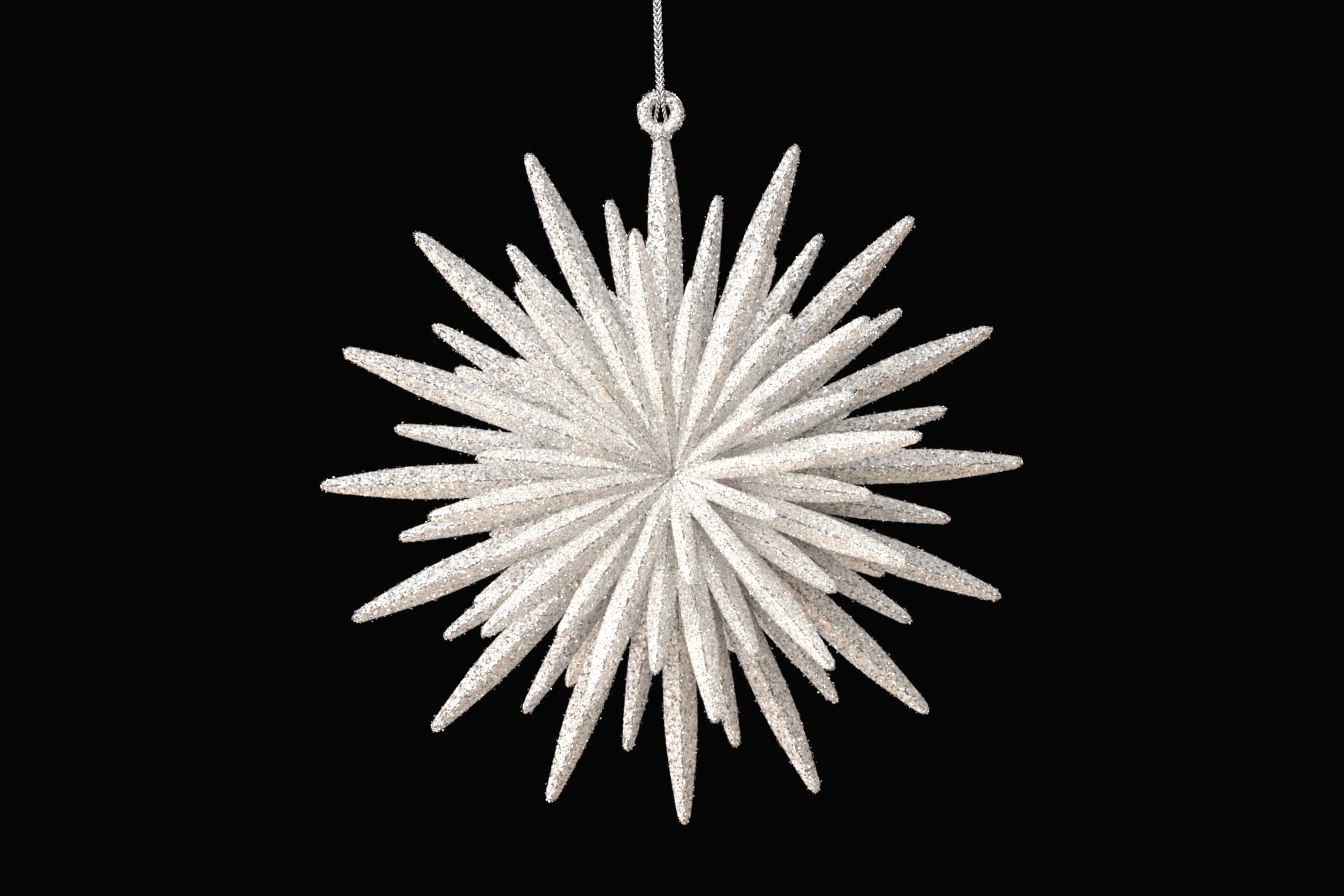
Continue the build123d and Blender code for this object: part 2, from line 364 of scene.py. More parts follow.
def spike_stations(length, root, widths, cut, spacing, coarse_below):
    """Stations and half widths from the root outwards, close at the tip and even below it."""
    s, w = spike_outline(widths, length, root)
    at_tip = s > length - TIP_LENGTH
    body = []
    x = length - TIP_LENGTH
    while x > root:
        body.append(x)
        x -= spacing if x > coarse_below else spacing * 2.4
    body.append(root)
    w = np.concatenate([w[at_tip], np.interp(body, s[::-1], w[::-1])])
    s = np.concatenate([s[at_tip], np.array(body)])
    if cut is not None:
        keep = s <= cut
        cut_width = np.interp(cut, s[::-1], w[::-1])
        s, w = np.append([cut], s[keep]), np.append([cut_width], w[keep])
    return s[::-1], w[::-1]


def spike_mesh(length, root, widths, lean, start, angle, cut, around, spacing, coarse_below):
    """One ridged spike with four facets, divided evenly so that relief can be put on them."""
    s, w = spike_stations(length, root, widths, cut, spacing, coarse_below)
    corner = np.array([[1, 0], [0, 1], [-1, 0], [0, -1]], float)
    k = np.arange(around) / around
    section = np.concatenate([
        corner[i] * (1 - k)[:, None] + corner[(i + 1) % 4] * k[:, None] for i in range(4)
    ])
    lean, angle = math.radians(lean), math.radians(angle)
    axis_point = np.array([0, 0, start])
    out = np.array([math.cos(lean), 0, math.sin(lean)])
    normal = np.array([-math.sin(lean), 0, math.cos(lean)])
    farthest = np.maximum(np.abs(section[:, :1]), np.abs(section[:, 1:]))
    rings = []
    for si, wi in zip(s, w):
        soft = min(CREST_SOFT / max(wi, 0.2), 0.25)
        q = section * (1 - soft * farthest**8)
        across = np.outer(q[:, 0] * wi, [0, 1, 0])
        rings.append(axis_point + out * si + across + np.outer(q[:, 1] * wi * RIDGE, normal))
    ends = [[axis_point + out * s[0]], [axis_point + out * (s[-1] + 0.02)]]
    verts = np.concatenate(rings + ends)
    count = 4 * around
    last = (len(s) - 1) * count
    faces = []
    for i in range(len(s) - 1):
        for p, q, r, t in band(i * count, (i + 1) * count, count):
            faces += [(p, q, t), (p, t, r)]
    root_point = last + count
    for p, q, r, t in band(0, last, count):
        faces += [(root_point, q, p), (root_point + 1, r, t)]
    return verts @ turn_matrix(angle).T, np.array(faces)


def turn_matrix(angle):
    c, s = math.cos(angle), math.sin(angle)
    return np.array([[c, -s, 0], [s, c, 0], [0, 0, 1]])


def layer_parts(layer):
    """Hub and alternating long and short spikes of one star."""
    step = 180 / layer.pairs
    parts = [lathe_mesh(layer.hub)]
    for k in range(layer.pairs):
        for odd, spikes in enumerate((layer.long, layer.short)):
            angle = step * (2 * k + odd)
            parts.append(spike_mesh(
                length=spikes.reach / math.cos(math.radians(layer.lean)),
                root=spikes.root + spikes.root_step * (k % 3),
                widths=spikes.widths,
                lean=layer.lean,
                start=layer.start,
                angle=angle,
                cut=layer.top_cut if angle == 90 else None,
                around=layer.detail.around,
                spacing=layer.detail.spacing,
                coarse_below=layer.coarse_below,
            ))
    return parts


def hanger_parts():
    """Neck and hanging ring over the cut top spike."""
    neck = rod_mesh((0, SHOULDER - 1.0, 0), (0, RING_C - RING_R, 0), NECK_R)
    return [neck, torus_mesh(RING_C, RING_R, RING_T)]


def layer_skin(name):
    layer = LAYERS[name]
    parts = layer_parts(layer)
    if name == "main":
        parts += hanger_parts()
    if layer.back is None:
        return united(parts)
    return united(parts, slab_mesh(layer.back, SLAB_TOP))


# ---------------------------------------------------------------------------
# Glitter relief and flakes
# ---------------------------------------------------------------------------
def hash01(cell, seed):
    """Three repeatable numbers from 0 to 1 for each lattice cell."""
    ix, iy, iz = (cell & 0xFFFFFFFF).astype(np.uint32).T
    bits = (
        (ix * np.uint32(73856093))
        ^ (iy * np.uint32(19349663))
        ^ (iz * np.uint32(83492791))
        ^ np.uint32(seed * 2654435761 % (1 << 32))
    )
    out = []
    for _ in range(3):
        bits = bits ^ (bits >> np.uint32(16))
        bits = bits * np.uint32(0x7FEB352D)
        bits = bits ^ (bits >> np.uint32(15))
        bits = bits * np.uint32(0x846CA68B)
        bits = bits ^ (bits >> np.uint32(16))
        out.append(bits.astype(np.float64) / 4294967295.0)
        bits = bits + np.uint32(0x9E3779B9)
    return np.stack(out, 1)


def nearest_cells(points, size, seed):
    """Three random values of the nearest jittered lattice point, and the offset from it."""
    base = np.floor(points / size).astype(np.int64)
    best = np.full(len(points), 1e9)
    best_offset = np.zeros_like(points)
    best_cell = np.zeros_like(base)
    for shift in np.ndindex(3, 3, 3):
        cell = base + (np.array(shift) - 1)
        offset = points - (cell + hash01(cell, seed)) * size
        distance = (offset * offset).sum(1)
        closer = distance < best
        best[closer] = distance[closer]
        best_offset[closer] = offset[closer]
        best_cell[closer] = cell[closer]
    return hash01(best_cell, seed + 77), best_offset


def glitter_relief(verts, faces, seed, mask):
    """Moves the skin so that each cell of the coating is a small tilted plate."""
    grain, lift, tilt = 0.62, 0.03, 0.05  # plate size, mean height, slope
    fine_share, fine_height = 0.55, 0.02  # finer cells over the plates
    lone_height = 0.07  # a few plates stand this much higher
    normals = vertex_normals(verts, faces)
    value, offset = nearest_cells(verts, grain, seed)
    slope = (value - 0.5) * 2 * tilt
    slope = slope - normals * (slope * normals).sum(1, keepdims=True)
    fine, _ = nearest_cells(verts, grain * fine_share, seed + 5)
    height = lift * (0.25 + value[:, 0]) + (slope * offset).sum(1)
    height = height + (fine[:, 1] - 0.5) * fine_height
    height = height + np.where(value[:, 2] > 0.98, lone_height, 0)
    height = np.clip(height, -0.06, 0.20) * mask
    return verts + normals * height[:, None]


def flakes_at(points, normals, radius, spread, lift, rng):
    """Square flakes over a skin, each a closed solid with a thin edge."""
    count = len(points)
    facing = normals + rng.normal(size=(count, 3)) * spread[:, None] * 0.6
    facing /= np.linalg.norm(facing, axis=1, keepdims=True)
    facing = np.where(((facing * normals).sum(1) < 0)[:, None], -facing, facing)
    across = unit_rows(np.cross(facing, rng.normal(size=(count, 3))))
    third = np.cross(facing, across)
    centre = points + normals * lift[:, None]
    half_thick = 0.022
    verts = np.zeros((count, 6, 3))
    for j in range(4):
        a = 2 * np.pi * j / 4
        arm = math.cos(a) * across + math.sin(a) * third
        verts[:, j] = centre + radius[:, None] * arm
    verts[:, 4] = centre + facing * half_thick
    verts[:, 5] = centre - facing * half_thick
    one = []
    for j in range(4):
        k = (j + 1) % 4
        one += [(j, k, 4), (k, j, 5)]
    faces = np.array(one)[None] + (np.arange(count) * 6)[:, None, None]
    return verts.reshape(-1, 3), faces.reshape(-1, 3)


def loose_flakes(verts, faces, count, low, rng):
    """Flakes all over the skin above z = low; some stand up from it."""
    tri = verts[faces]
    normals = face_normals(tri)
    weight = np.linalg.norm(normals, axis=1) * (tri.mean(1)[:, 2] > low)
    pick = rng.choice(len(faces), size=count, p=weight / weight.sum())
    a, b = rng.random(count), rng.random(count)
    flip = a + b > 1
    a[flip], b[flip] = 1 - a[flip], 1 - b[flip]
    origin = tri[pick, 0]
    points = (
        origin + a[:, None] * (tri[pick, 1] - origin) + b[:, None] * (tri[pick, 2] - origin)
    )
    standing = rng.random(count) < 0.16
    radius = rng.uniform(0.10, 0.17, count) * np.where(standing, 1.35, 1.0)
    lift = 0.02 + 0.06 * rng.random(count) + np.where(standing, 0.06, 0)
    spread = np.where(standing, 1.8, 0.5)
    return flakes_at(points, unit_rows(normals[pick]), radius, spread, lift, rng)


def edge_flakes(verts, faces, count, low, rng):
    """Flakes that stick out along the spikes' side edges."""
    normals = vertex_normals(verts, faces)
    edge = np.nonzero((np.abs(normals[:, 2]) < 0.45) & (verts[:, 2] > low))[0]
    pick = rng.choice(edge, size=count)
    points = verts[pick] + rng.normal(size=(count, 3)) * 0.16
    big = rng.random(count) ** 2
    return flakes_at(
        points, normals[pick], radius=0.12 + 0.12 * big, spread=np.full(count, 1.2),
        lift=0.04 + 0.13 * big, rng=rng,
    )


# ---------------------------------------------------------------------------
# Materials
# ---------------------------------------------------------------------------
class Shader:
    """A material and short methods that add nodes to it and return their outputs."""

    def __init__(self, name):
        self.material = bpy.data.materials.new(name)
        self.material.use_nodes = True
        self.tree = self.material.node_tree
        self.tree.nodes.clear()
        self.output = self.tree.nodes.new("ShaderNodeOutputMaterial")

    def put(self, socket, value):
        """Links a socket or sets a value; colours may come without alpha."""
        if isinstance(value, bpy.types.NodeSocket):
            self.tree.links.new(value, socket)
        elif socket.type == "RGBA":
            socket.default_value = (*value[:3], 1.0)
        else:
            socket.default_value = value

    def add(self, kind, inputs=None, **settings):
        node = self.tree.nodes.new("ShaderNode" + kind)
        for key, value in settings.items():
            setattr(node, key, value)
        for key, value in (inputs or {}).items():
            self.put(node.inputs[key], value)
        return node

    def coord(self):
        return self.add("TexCoord").outputs["Object"]

    def normal(self):
        return self.add("NewGeometry").outputs["Normal"]

    def math(self, operation, *values):
        return self.add("Math", dict(enumerate(values)), operation=operation).outputs[0]

    def vector(self, operation, *values):
        node = self.add("VectorMath", dict(enumerate(values)), operation=operation)
        return node.outputs["Value" if operation == "LENGTH" else 0]

    def dot(self, a, b):
        node = self.add("VectorMath", {0: a, 1: b}, operation="DOT_PRODUCT")
        return node.outputs["Value"]

    def scale(self, a, factor):
        return self.add("VectorMath", {0: a, "Scale": factor}, operation="SCALE").outputs[0]

    def ramp(self, x, lo, hi, to_lo=0.0, to_hi=1.0, ease="LINEAR"):
        inputs = {
            "Value": x, "From Min": lo, "From Max": hi, "To Min": to_lo, "To Max": to_hi,
        }
        return self.add("MapRange", inputs, interpolation_type=ease).outputs["Result"]

    def mix_value(self, factor, a, b):
        return self.add("Mix", {0: factor, 2: a, 3: b}, data_type="FLOAT").outputs[0]

    def mix_colour(self, factor, a, b, mode="MIX"):
        inputs = {0: factor, 6: a, 7: b}
        return self.add("Mix", inputs, data_type="RGBA", blend_type=mode).outputs[2]

    def colour_ramp(self, factor, *stops):
        """stops: (position, colour) in rising order."""
        node = self.add("ValToRGB", {0: factor})
        elements = node.color_ramp.elements
        for element, (position, colour) in zip(elements, (stops[0], stops[-1])):
            element.position = position
            element.color = (*colour, 1)
        for position, colour in stops[1:-1]:
            elements.new(position).color = (*colour, 1)
        return node.outputs["Color"]

    def cells(self, where, size):
        """Random colour of each cell, and its three channels."""
        inputs = {"Scale": 1.0 / (size * MM), "Randomness": 1.0, "Vector": where}
        node = self.add("TexVoronoi", inputs, voronoi_dimensions="3D", feature="F1")
        colour = node.outputs["Color"]
        return colour, *self.add("SeparateColor", {0: colour}).outputs[:3]

    def noise(self, where, scale, detail=2.0):
        inputs = {"Scale": scale, "Detail": detail, "Vector": where}
        return self.add("TexNoise", inputs).outputs[0]

    def tilted(self, normal, colour, amount):
        """The normal, turned a different way in each cell by the cell's colour."""
        tilt = self.scale(self.vector("SUBTRACT", colour, (0.5, 0.5, 0.5)), amount)
        return self.vector("NORMALIZE", self.vector("ADD", normal, tilt))

    def surface(self, node):
        self.put(self.output.inputs["Surface"], node.outputs[0])
        return self.material


def crest_normal(sh, radial, near, lean, facing, soften):
    """Surface normal that turns over along the ridges, evened out by soften."""
    normal = sh.normal()
    up = sh.vector(
        "ADD",
        sh.scale(radial, -math.sin(math.radians(lean))),
        (0, -math.cos(math.radians(lean)) * facing, 0),
    )
    sign = sh.math("SIGN", sh.dot(normal, up))
    turn = sh.scale(sh.vector("SUBTRACT", sh.scale(up, sign), normal), near)
    crest = sh.vector("NORMALIZE", sh.vector("ADD", normal, turn))
    if soften:
        out_of_face = sh.scale(sh.scale((0, -facing, 0), sign), soften)
        crest = sh.vector("NORMALIZE", sh.vector("ADD", crest, out_of_face))
    return crest


def flake_colour(sh, coord, shade, grit, tone, tint):
    """Flake to flake colour with slow variation over the star."""
    low = 0.56 - 0.46 * grit
    mid = 0.70 - 0.14 * grit
    colour = sh.colour_ramp(
        shade,
        (0.0, (low, low * 0.97, low * 0.93)),
        (0.22, (mid, mid * 0.98, mid * 0.96)),
        (0.6, (0.755, 0.745, 0.735)),
        (1.0, (0.90 + 0.10 * grit, 0.895 + 0.10 * grit, 0.89 + 0.10 * grit)),
    )
    slow = sh.ramp(sh.noise(coord, scale=220.0), 0.3, 0.7, 0.93 * tone, 1.03 * tone)
    colour = sh.vector("MULTIPLY", sh.scale(colour, slow), tint)
    return sh.vector("MINIMUM", colour, (0.95, 0.95, 0.95))


def with_ring_grains(sh, coord, height, colour):
    """Coarse dark grains from the neck upwards."""
    _, share, shade, _ = sh.cells(sh.vector("ADD", coord, (0.003, 0.017, 0.009)), size=0.48)
    on_ring = sh.ramp(height, 75.5 * MM, 77.0 * MM)
    amount = sh.math("MULTIPLY", on_ring, sh.ramp(share, 0.26, 0.31, 0.9, 0.0))
    grains = sh.mix_colour(shade, (0.06, 0.04, 0.035), (0.30, 0.25, 0.23))
    return sh.mix_colour(amount, colour, grains)


def glitter_material(
    name, step, turn, lean, facing, tone, grit, grain, soften, tint, milky, ring_grains
):
    """White plastic under silver glitter; the ridges carry dashes of painted dark reflection with
    mirror specks among them, and the valleys are darkened with painted shade.
    """
    sh = Shader(name)
    coord = sh.coord()
    from_centre = sh.vector("SUBTRACT", coord, (0, 0, STAR_Z * MM))
    x, _, z = sh.add("SeparateXYZ", {0: from_centre}).outputs
    flat = sh.vector("MULTIPLY", from_centre, (1, 0, 1))
    rho = sh.vector("LENGTH", flat)
    radial = sh.vector("NORMALIZE", flat)

    # distance from the nearest ridge's plane, a little ragged
    step = math.radians(step)
    angle = sh.math("SUBTRACT", sh.math("ARCTAN2", z, x), math.radians(turn))
    off = sh.math("WRAP", angle, step / 2, -step / 2)
    ragged = sh.math("SUBTRACT", sh.noise(coord, scale=2200.0, detail=1.0), 0.5)
    ragged = sh.math("MULTIPLY", ragged, 0.26 * MM)
    across = sh.math("MULTIPLY", rho, sh.math("SINE", off))
    distance = sh.math("ABSOLUTE", sh.math("ADD", across, ragged))
    near = sh.ramp(distance, 0.0, 0.62 * MM, 1.0, 0.0)
    # ridge line broken into dashes; it carries specks of painted dark reflection and mirror specks
    ridge_dashes = sh.ramp(sh.noise(coord, scale=420.0, detail=1.0), 0.36, 0.58, 0.60, 1.0)
    line = sh.math("MULTIPLY", sh.ramp(distance, 0.17 * MM, 0.27 * MM, 1.0, 0.0), ridge_dashes)

    # two sets of flakes: one tilts the ground, the other the mirror coat over it
    normal = crest_normal(sh, radial, near, lean, facing, soften)
    ground, shade, _, coat_rough = sh.cells(coord, grain)
    shifted = sh.vector("ADD", coord, (0.013, 0.021, 0.005))
    mirror, speck, dark_speck_tone, coat_amount = sh.cells(shifted, grain * 1.15)
    coat_normal = sh.tilted(normal, mirror, 1.3 + 0.6 * grit)
    normal = sh.tilted(normal, ground, 0.40 + 0.60 * grit)

    # colour: flakes, painted shade in the valleys, then specks of painted dark reflection and
    # bright mirror specks on the ridges
    colour = flake_colour(sh, coord, shade, grit, tone, tint)
    # painted shade: the valleys between the spikes are darkened and tinted olive
    valley_shade = sh.ramp(
        sh.math("ABSOLUTE", off), step * 0.36, step * 0.5, 0.0, 0.55, ease="SMOOTHSTEP"
    )
    colour = sh.mix_colour(valley_shade, colour, (0.80, 0.80, 0.70), "MULTIPLY")
    # painted reflection: dark reddish specks on the ridges stand in for the dark surroundings seen
    # in the flakes
    dark = sh.math("MULTIPLY", line, sh.ramp(speck, 0.52, 0.56, 1.0, 0.0))
    bright = sh.math("MULTIPLY", line, sh.ramp(speck, 0.64, 0.68))
    painted_dark_reflection = sh.mix_colour(dark_speck_tone, (0.07, 0.035, 0.03), (0.24, 0.18, 0.17))
    if ring_grains:
        colour = with_ring_grains(sh, coord, z, colour)
    colour = sh.mix_colour(dark, colour, painted_dark_reflection)
    colour = sh.mix_colour(bright, colour, (0.98, 0.98, 0.97))

    bsdf = sh.add("BsdfPrincipled", {
        "Base Color": colour,
        "Metallic": sh.mix_value(bright, 0.12, 0.9),
        "Roughness": sh.mix_value(bright, 0.45, 0.20),
        "Normal": normal,
        "Coat Weight": sh.ramp(coat_amount, 0.15, 0.6, 0.25, 1.0),
        "Coat IOR": 2.4,
        "Coat Roughness": sh.ramp(coat_rough, 0.0, 1.0, 0.10, 0.24),
        "Coat Normal": coat_normal,
    })
    if milky:
        bsdf.subsurface_method = "BURLEY"
        sh.put(bsdf.inputs["Subsurface Weight"], milky)
        sh.put(bsdf.inputs["Subsurface Radius"], (1.0, 1.0, 0.95))
        sh.put(bsdf.inputs["Subsurface Scale"], 4.0 * MM)
    return sh.surface(bsdf)


def flake_material():
    """Silver flakes: bright metal with a few warm or cold ones."""
    sh = Shader("glitter_flakes")
    _, shade, rough, _ = sh.cells(sh.coord(), size=0.6)
    colour = sh.colour_ramp(
        shade, (0.0, (0.72, 0.66, 0.58)), (0.3, (0.90, 0.88, 0.86)), (1.0, (0.98, 0.98, 1.0))
    )
    return sh.surface(sh.add("BsdfPrincipled", {
        "Base Color": colour,
        "Roughness": sh.ramp(rough, 0.0, 1.0, 0.12, 0.40),
        "Metallic": 0.85,
    }))


def cord_material():
    """Metallic yarn: fine bright and dark filaments along each ply, with painted shade darkening
    the grooves.
    """
    sh = Shader("metallic_cord")
    stretched = sh.add("Mapping", {"Scale": (1.0, 1.0, 0.35), "Vector": sh.coord()})
    filament, shade, _, _ = sh.cells(stretched.outputs[0], size=0.16)
    colour = sh.colour_ramp(
        shade, (0.0, (0.40, 0.39, 0.40)), (0.25, (0.82, 0.82, 0.84)), (0.80, (0.97, 0.97, 1.0))
    )
    # painted shade: the colour darkens towards the grooves between the plies, following the depth
    # attribute
    depth = sh.add("Attribute", attribute_name="depth").outputs["Fac"]
    light = sh.ramp(depth, 0.35, 0.85, 0.10, 1.0, ease="SMOOTHSTEP")
    return sh.surface(sh.add("BsdfPrincipled", {
        "Base Color": sh.scale(colour, light),
        "Metallic": 0.8,
        "Roughness": 0.25,
        "Normal": sh.tilted(sh.normal(), filament, 0.55),
    }))


def glue_material():
    """Set glue: yellowish, uneven and glossy."""
    sh = Shader("set_glue")
    noise = sh.noise(sh.coord(), scale=900.0)
    bump = sh.add("Bump", {"Strength": 0.4, "Distance": 0.0001, "Height": noise})
    return sh.surface(sh.add("BsdfPrincipled", {
        "Base Color": sh.colour_ramp(noise, (0.0, (0.62, 0.56, 0.42)), (1.0, (0.88, 0.85, 0.76))),
        "Normal": bump.outputs[0],
        "Roughness": 0.25,
    }))


def floor_material():
    """Matt floor that thins out into the even background far from the object."""
    sh = Shader("floor_matt")
    coord = sh.coord()
    noise = sh.noise(coord, scale=3.0)
    matt = sh.add("BsdfPrincipled", {
        "Base Color": sh.colour_ramp(
            noise, (0.0, (0.60, 0.59, 0.575)), (1.0, (0.66, 0.65, 0.635))
        ),
        "Roughness": 0.9,
    })
    distance = sh.vector("LENGTH", sh.vector("MULTIPLY", coord, (1, 1, 0)))
    fade = sh.ramp(distance, 0.55, 2.2, ease="SMOOTHERSTEP")  # metres
    clear = sh.add("BsdfTransparent")
    return sh.surface(sh.add("MixShader", {0: fade, 1: matt.outputs[0], 2: clear.outputs[0]}))


COATS = {}
for name, layer_name, turn, facing, _ in STARS:
    layer = LAYERS[layer_name]
    # seen from the front, a rear star is turned the other way
    COATS[name] = glitter_material(
        f"glitter_{name}", step=180 / layer.pairs, turn=facing * turn, lean=layer.lean,
        facing=facing, **layer.coat,
    )
FLAKES = flake_material()
CORD = cord_material()
GLUE = glue_material()


# ---------------------------------------------------------------------------
# The five star mouldings and their glue
# ---------------------------------------------------------------------------
def to_row(verts, facing):
    """Star coordinates to the row frame: front stars face -Y, rear stars +Y."""
    x, y, z = verts.T
    return np.stack([x * facing, -z * facing, y + STAR_Z], 1)


def build_star(name, layer, skin, turn, facing, seed):
    verts, faces = skin
    verts = verts @ turn_matrix(math.radians(turn)).T
    faces = outward(verts, faces)
    if layer.back is None:
        mask, low = np.ones(len(verts)), -99
    else:
        # the flat back stays bare
        mask = np.clip((verts[:, 2] - layer.back - 0.15) / 0.4, 0, 1)
        low = layer.back + 0.8
    verts = glitter_relief(verts, faces, seed, mask)
    rng = np.random.default_rng(seed + 100)
    flake_verts, flake_faces = join([
        loose_flakes(verts, faces, layer.detail.flakes, low, rng),
        edge_flakes(verts, faces, layer.detail.edge_flakes, low, rng),
    ])
    verts = to_row(verts, facing)
    star_name = f"{name}_star_coated"
    star = make_object(star_name, verts, outward(verts, faces), [COATS[name]])
    flakes = make_object(
        star_name + "_glitter", to_row(flake_verts, facing), flake_faces, [FLAKES]
    )
    for ob in (star, flakes):
        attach(ob, "star")
    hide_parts(f"{name}_star")


skins = {name: layer_skin(name) for name in LAYERS}
for name, layer_name, turn, facing, seed in STARS:
    build_star(name, LAYERS[layer_name], skins[layer_name], turn, facing, seed)

for name in ("front_middle_glue", "rear_middle_glue", "front_cap_glue", "rear_cap_glue"):
    glue_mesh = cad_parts[name].data
    glue_mesh.materials.clear()
    glue_mesh.materials.append(GLUE)

# ---------------------------------------------------------------------------
# Cord: two strands, each of two plies of metallic yarn wound round each other
# ---------------------------------------------------------------------------
STRAND, SIDE = 0.45, 0.46  # strand radius; distance of a strand from the middle plane
PLY_R, PLY_OFF, PITCH = 0.215, 0.205, 2.6  # ply radius, offset from the strand, lay
PLY_SIDES = 10
PLY_CORE = 0.10  # distance from a strand's centre that counts as fully deep
POINT_STEP = 0.12
# Heights of the joints along the cord
FORE_AFT_Z, SIDEWAYS_Z, TWIST_Z = -14.0, -20.0, -33.0
ROCK_Z = STAR_Z + 86.0

WRAP = RING_T + STRAND + 0.12  # strand centre round the ring's wire
TURN = NECK_R + STRAND + 0.10  # strand centre round the neck

# Right strand's centre line (x, y, z): eye at the top, straight run, hitch round the neck
RIGHT_STRAND = [
    (0.35, 0, 1.2),
    (1.0, 0, 0.35),
    (2.6, 0, -0.9),
    (3.3, 0, -4.2),
    (1.55, 0, -9.0),
    (0.62, 0, -11.9),
    (SIDE, 0, -20.0),
    (SIDE, 0, -30.0),
    (SIDE, 0, -40.0),
    (SIDE, 0, ROCK_Z + 2.0),
    (SIDE, -0.05, ROCK_Z),
    (SIDE, -0.95, STAR_Z + 83.9),
    (SIDE, -WRAP, STAR_Z + 81.9),
    (SIDE + 0.02, -1.50, STAR_Z + 79.95),
    (0.58, -0.35, STAR_Z + 78.83),
    (0.85, 0.95, STAR_Z + 77.6),
    (1.20, 1.78, STAR_Z + 75.6),
    (1.60, 1.90, STAR_Z + 73.9),
    (1.88, 1.15, STAR_Z + 72.7),
    (TURN, 0, STAR_Z + 72.12),
    (TURN * 0.72, -TURN * 0.72, STAR_Z + 72.12),
    (0, -TURN, STAR_Z + 72.12),
]


def smooth_path(points):
    """Evenly spaced points along a centripetal Catmull-Rom curve through the given ones."""
    p = np.array(points, float)
    p = np.concatenate([[2 * p[0] - p[1]], p, [2 * p[-1] - p[-2]]])
    out = []
    for i in range(1, len(p) - 2):
        p0, p1, p2, p3 = p[i - 1 : i + 3]
        d1, d2, d3 = [
            max(np.linalg.norm(b - a), 1e-6) ** 0.5 for a, b in ((p0, p1), (p1, p2), (p2, p3))
        ]
        t0, t1 = 0, d1
        t2, t3 = t1 + d2, t1 + d2 + d3
        for t in np.linspace(t1, t2, 24, endpoint=False):
            a1 = (t1 - t) / (t1 - t0) * p0 + (t - t0) / (t1 - t0) * p1
            a2 = (t2 - t) / (t2 - t1) * p1 + (t - t1) / (t2 - t1) * p2
            a3 = (t3 - t) / (t3 - t2) * p2 + (t - t2) / (t3 - t2) * p3
            b1 = (t2 - t) / (t2 - t0) * a1 + (t - t0) / (t2 - t0) * a2
            b2 = (t3 - t) / (t3 - t1) * a2 + (t - t1) / (t3 - t1) * a3
            out.append((t2 - t) / (t2 - t1) * b1 + (t - t1) / (t2 - t1) * b2)
    out.append(p[-2])
    out = np.array(out)
    s = lengths_along(out)
    even = np.linspace(0, s[-1], max(4, int(s[-1] / POINT_STEP)))
    return np.stack([np.interp(even, s, out[:, k]) for k in range(3)], 1)


def lengths_along(path):
    return np.concatenate([[0], np.cumsum(np.linalg.norm(np.diff(path, axis=0), axis=1))])


def normals_along(path, start_normal):
    """Two directions across the path at each point, carried along without twist."""
    tangent = np.gradient(path, axis=0)
    tangent /= np.linalg.norm(tangent, axis=1, keepdims=True)
    normal = np.zeros_like(path)
    carried = np.array(start_normal, float)
    for i in range(len(path)):
        carried = carried - tangent[i] * (carried @ tangent[i])
        carried = carried / np.linalg.norm(carried)
        normal[i] = carried
    return normal, np.cross(tangent, normal)


def ply_mesh(path):
    """Closed tube along one ply."""
    around, count = PLY_SIDES, len(path)
    normal, binormal = normals_along(path, (1, 0.1, 0.05))
    a = circle_angles(around)[None, :, None]
    circle = np.cos(a) * normal[:, None, :] + np.sin(a) * binormal[:, None, :]
    verts = (path[:, None, :] + PLY_R * circle).reshape(-1, 3)
    verts = np.concatenate([verts, [path[0]], [path[-1]]])
    i = np.arange(count - 1)[:, None] * around
    j = np.arange(around)
    k = (j + 1) % around
    quads = np.stack([i + j, i + k, i + around + k, i + around + j], -1).reshape(-1, 4)
    last = (count - 1) * around
    first_point = np.full(around, count * around)
    faces = np.concatenate([
        quads[:, [0, 1, 2]],
        quads[:, [0, 2, 3]],
        np.stack([first_point, k, j], 1),
        np.stack([first_point + 1, last + j, last + k], 1),
    ])
    return verts, faces


def plies(path, hand, phase):
    """Centre lines of the two plies round a strand's centre line."""
    normal, binormal = normals_along(path, (1, 0.02, 0.01))
    s = lengths_along(path)
    out = []
    for k in (0, 1):
        a = hand * 2 * np.pi * s / PITCH + phase + k * np.pi
        out.append(path + PLY_OFF * (np.cos(a)[:, None] * normal + np.sin(a)[:, None] * binormal))
    return out


def ply_piece(line, core):
    """Tube along a ply, and for each vertex 0 deep in the strand to 1 on its outside."""
    verts, faces = ply_mesh(line)
    centres = np.concatenate([np.repeat(core, PLY_SIDES, axis=0), core[:1], core[-1:]])
    radius = np.linalg.norm(verts - centres, axis=1)
    depth = np.clip((radius - PLY_CORE) / (PLY_OFF + PLY_R - PLY_CORE), 0, 1)
    return verts, outward(verts, faces), depth


def cord_object(name, pieces):
    verts, faces = join([piece[:2] for piece in pieces])
    ob = make_object(name, verts, faces, [CORD], smooth=True)
    depth = np.concatenate([piece[2] for piece in pieces])
    attribute = ob.data.attributes.new("depth", "FLOAT", "POINT")
    attribute.data.foreach_set("value", depth.astype(np.float32))
    return ob


def runs_between(line, lo, hi):
    """Stretches of a line from height lo to hi, one point longer so that runs meet."""
    inside = (line[:, 2] <= hi) & (line[:, 2] > lo)
    runs, start = [], None
    for i, x in enumerate(inside):
        if x and start is None:
            start = i
        if not x and start is not None:
            runs.append((start, i))
            start = None
    if start is not None:
        runs.append((start, len(line) - 1))
    return [slice(a, min(b + 1, len(line))) for a, b in runs if b - a >= 3]


